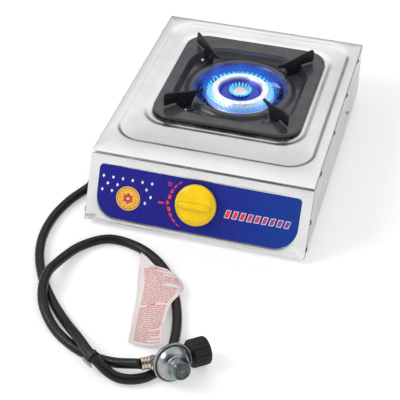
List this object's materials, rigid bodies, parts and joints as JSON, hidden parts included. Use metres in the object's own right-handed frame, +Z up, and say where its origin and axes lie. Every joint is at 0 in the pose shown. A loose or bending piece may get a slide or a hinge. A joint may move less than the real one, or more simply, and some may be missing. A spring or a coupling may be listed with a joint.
{
  "type": "single-burner gas stove",
  "caption": "Table-top gas stove with a ported ring burner, lift-off pan with pot supports, push-and-turn knob, and a hose with a domed low-pressure regulator.",
  "frame": {"origin": "under the middle of the stove without its hose, on the surface that it stands on", "axes": "+Z up, -Y towards the knob and the sloping front, +X to the right of someone facing the knob"},
  "size_m": [0.3967, 0.895, 0.1305],
  "materials": {
    "stainless": "bright rolled stainless sheet",
    "fascia_blue": "blue printed fascia",
    "galvanised": "zinc-plated steel",
    "rubber": "black rubber",
    "cast_metal": "die-cast metal",
    "brass": "turned brass",
    "knob_yellow": "yellow moulded plastic",
    "enamel": "dark grey vitreous enamel",
    "black_enamel": "black enamel",
    "hose_rubber": "smooth black gas hose",
    "black_plastic": "moulded black plastic",
    "tag_film": "printed film"
  },
  "bodies": {
    "casing": {"top_panel": "stainless", "side_panel_left": "stainless", "side_panel_right": "stainless", "rear_panel": "stainless", "fascia_plate": "fascia_blue", "base_rail_front": "galvanised", "base_rail_rear": "galvanised", "foot_front_left": "rubber", "foot_front_right": "rubber", "foot_rear_left": "rubber", "foot_rear_right": "rubber", "casing_screws": "galvanised", "burner_bar": "galvanised", "burner_body": "cast_metal", "mixing_tube": "cast_metal", "burner_screws": "galvanised", "valve_body": "brass", "valve_cover": "brass", "valve_screws": "galvanised", "injector": "brass", "gas_pipe": "galvanised", "pipe_nut": "brass", "inlet_nipple": "brass", "inlet_locknut": "brass", "hose": "hose_rubber", "hose_nut": "brass", "inlet_ferrule": "galvanised", "outlet_ferrule": "galvanised", "outlet_nut": "galvanised", "regulator_body": "cast_metal", "regulator_bonnet": "galvanised", "regulator_diaphragm": "rubber", "regulator_spring": "galvanised", "regulator_cap": "black_plastic", "inlet_nose": "brass", "nose_seal": "rubber", "warning_tag": "tag_film", "hose_clip": "galvanised"},
    "tap_plug": {"valve_plug": "brass", "valve_spring": "galvanised"},
    "knob": {"knob": "knob_yellow", "valve_spindle": "galvanised"},
    "air_shutter": {"air_shutter": "cast_metal"},
    "pan": {"drip_pan": "enamel", "pot_support_back_left": "black_enamel", "pot_support_back_right": "black_enamel", "pot_support_front_left": "black_enamel", "pot_support_front_right": "black_enamel", "support_rivets": "galvanised"},
    "burner_ring": {"burner_ring": "cast_metal"},
    "burner_cap": {"burner_cap": "cast_metal"},
    "coupling": {"coupling_wheel": "black_plastic"}
  },
  "joints": [
    {"name": "tap_turn", "type": "hinge", "parent": "casing", "child": "tap_plug", "pos_m": [0, -0.21475, 0.05751], "axis": [0, -0.8981, 0.4399], "range_deg": [-90, 60]},
    {"name": "knob_push", "type": "slide", "parent": "tap_plug", "child": "knob", "axis": [0, 0.8981, -0.4399], "range_m": [0, 0.004], "stiffness_N_per_m": 800, "springref_m": -0.004, "deforming": ["valve_spring"]},
    {"name": "air_shutter_turn", "type": "hinge", "parent": "casing", "child": "air_shutter", "pos_m": [0, -0.1557, 0.04523], "axis": [0, 1, 0], "range_deg": [0, 45]},
    {"name": "pan_lift", "type": "slide", "parent": "casing", "child": "pan", "axis": [0, 0, 1], "range_m": [0, 0.08]},
    {"name": "burner_ring_lift", "type": "slide", "parent": "casing", "child": "burner_ring", "axis": [0, 0, 1], "range_m": [0, 0.06]},
    {"name": "burner_cap_lift", "type": "slide", "parent": "casing", "child": "burner_cap", "axis": [0, 0, 1], "range_m": [0, 0.04]},
    {"name": "coupling_turn", "type": "hinge", "parent": "casing", "child": "coupling", "pos_m": [0.04326, -0.49776, 0.02434], "axis": [0.7469, 0.6597, -0.0829], "continuous": true}
  ]
}
